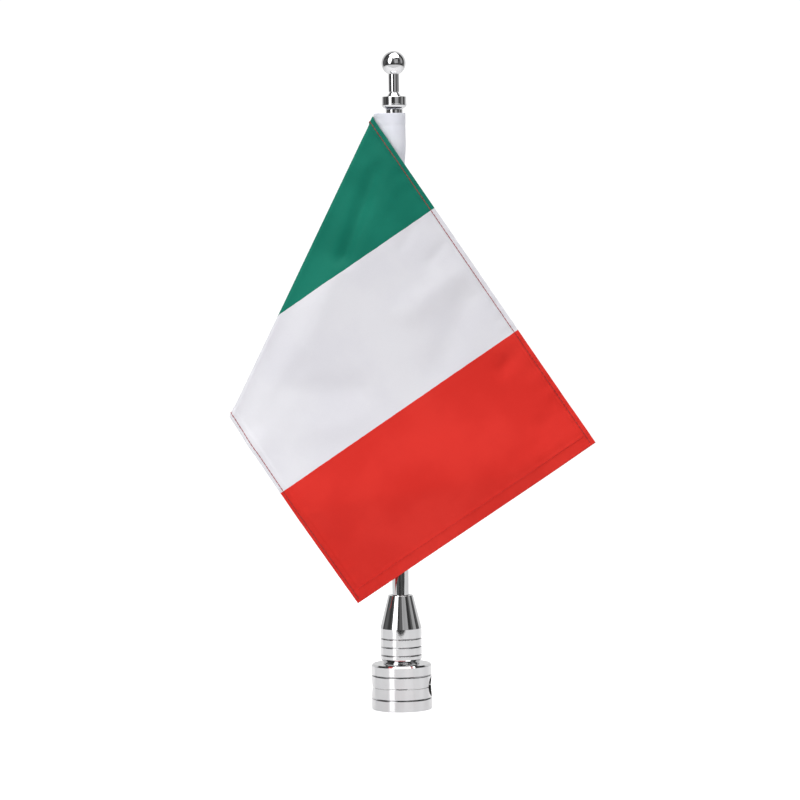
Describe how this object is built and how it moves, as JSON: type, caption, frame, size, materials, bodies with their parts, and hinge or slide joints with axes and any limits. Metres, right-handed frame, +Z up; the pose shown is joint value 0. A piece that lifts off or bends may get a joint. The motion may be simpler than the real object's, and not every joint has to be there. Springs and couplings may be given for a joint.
{
  "type": "clamp-base flag pole with sleeved flag",
  "caption": "Small sleeved flag folded over a slim chromed pole with a ball finial, on a grooved neck and a round split clamp base with a rubber-lined cross bore for a rack rail.",
  "frame": {"origin": "centre of the clamp base's flat underside, on the pole's axis", "axes": "+Z up along the pole, X along the cross bore for the rack rail, -Y the side that the flag faces"},
  "size_m": [0.1935, 0.038, 0.3519],
  "materials": {
    "chrome": "polished",
    "screw_steel": "satin",
    "stud_steel": "satin",
    "liner_rubber": "matte",
    "ring_rubber": "satin",
    "sleeve_cloth": "matte",
    "flag_cloth": "satin"
  },
  "bodies": {
    "mount": {"clamp_upper_body": "chrome", "clamp_liner_upper": "liner_rubber", "neck_screw": "screw_steel", "neck_screw_washer": "screw_steel", "neck_collar": "chrome", "pole": "chrome", "flag_stop_ring": "ring_rubber"},
    "clamp_cap": {"clamp_lower_cap": "chrome", "clamp_liner_lower": "liner_rubber", "clamp_washer_front": "screw_steel", "clamp_washer_rear": "screw_steel"},
    "front_screw": {"clamp_screw_front": "screw_steel"},
    "rear_screw": {"clamp_screw_rear": "screw_steel"},
    "flag": {"flag_sleeve": "sleeve_cloth", "flag_cloth": "flag_cloth"},
    "stud": {"finial_stud": "stud_steel"},
    "finial": {"finial_collar": "chrome", "finial_stem": "chrome", "finial_ball": "chrome"}
  },
  "joints": [
    {"name": "flag_swing", "type": "hinge", "parent": "mount", "child": "flag", "pos_m": [0, 0, 0.24], "axis": [0, 0, 1], "continuous": true},
    {"name": "finial_lift", "type": "slide", "parent": "mount", "child": "stud", "axis": [0, 0, 1], "range_m": [0, 0.0088]},
    {"name": "finial_turn", "type": "hinge", "parent": "stud", "child": "finial", "pos_m": [0, 0, 0.3253], "axis": [0, 0, 1], "range_deg": [0, 3960]},
    {"name": "clamp_cap_drop", "type": "slide", "parent": "mount", "child": "clamp_cap", "axis": [0, 0, -1], "range_m": [0, 0.0049]},
    {"name": "clamp_screw_front_turn", "type": "hinge", "parent": "clamp_cap", "child": "front_screw", "pos_m": [0, -0.0105, 0.004], "axis": [0, 0, -1], "range_deg": [0, 2520]},
    {"name": "clamp_screw_rear_turn", "type": "hinge", "parent": "clamp_cap", "child": "rear_screw", "pos_m": [0, 0.0105, 0.004], "axis": [0, 0, -1], "range_deg": [0, 2520]}
  ],
  "couplings": [
    {"joint": "finial_lift", "follows": "finial_turn", "m_per_rad": 0.00012732},
    {"joint": "clamp_screw_front_turn", "follows": "clamp_cap_drop", "rad_per_m": 8976},
    {"joint": "clamp_screw_rear_turn", "follows": "clamp_cap_drop", "rad_per_m": 8976}
  ]
}
